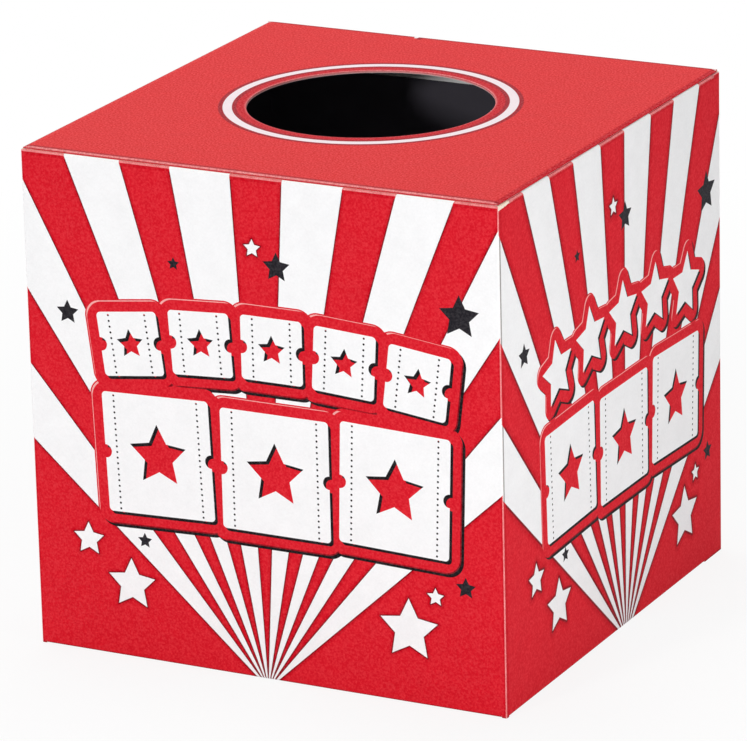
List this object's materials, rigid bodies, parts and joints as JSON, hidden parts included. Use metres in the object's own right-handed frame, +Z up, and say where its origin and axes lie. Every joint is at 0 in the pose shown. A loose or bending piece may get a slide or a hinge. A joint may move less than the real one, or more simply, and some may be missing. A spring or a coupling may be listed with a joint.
{
  "type": "raffle box",
  "caption": "Cube-shaped raffle box of printed board: tuck-in lid with a round hand hole, folding dust flaps, locked bottom and a black inner sleeve.",
  "frame": {"origin": "centre of the base, on the surface that the box stands on", "axes": "+Z up, -Y towards the front, where the lid tucks in, +X to the box's right seen from the front; the lid is creased to the back wall at +Y"},
  "size_m": [0.3, 0.3, 0.3],
  "materials": {
    "printed_board": "gloss varnished print, white inside",
    "black_board": "matt"
  },
  "bodies": {
    "carton": {"front_wall": "printed_board", "right_wall": "printed_board", "back_wall": "printed_board", "left_wall": "printed_board", "seam_tab": "printed_board", "bottom_flap_front": "printed_board", "bottom_flap_back": "printed_board", "bottom_flap_left": "printed_board", "bottom_flap_right": "printed_board", "liner_front": "black_board", "liner_right": "black_board", "liner_back": "black_board", "liner_left": "black_board", "liner_tab": "black_board"},
    "lid": {"lid_panel": "printed_board"},
    "tuck": {"tuck_flap": "printed_board"},
    "dust_right": {"dust_flap_right": "printed_board"},
    "dust_left": {"dust_flap_left": "printed_board"}
  },
  "joints": [
    {"name": "lid_crease", "type": "hinge", "parent": "carton", "child": "lid", "pos_m": [0, 0.15, 0.3], "axis": [-1, 0, 0], "range_deg": [0, 175]},
    {"name": "tuck_crease", "type": "hinge", "parent": "lid", "child": "tuck", "pos_m": [0, -0.1465, 0.2985], "axis": [1, 0, 0], "range_deg": [0, 60]},
    {"name": "dust_crease_right", "type": "hinge", "parent": "carton", "child": "dust_right", "pos_m": [0.15, 0, 0.2983], "axis": [0, 1, 0], "range_deg": [0, 88]},
    {"name": "dust_crease_left", "type": "hinge", "parent": "carton", "child": "dust_left", "pos_m": [-0.15, 0, 0.2983], "axis": [0, -1, 0], "range_deg": [0, 88]}
  ],
  "couplings": [
    {"joint": "dust_crease_right", "follows": "lid_crease", "ratio": 0.5},
    {"joint": "dust_crease_left", "follows": "lid_crease", "ratio": 0.5}
  ]
}
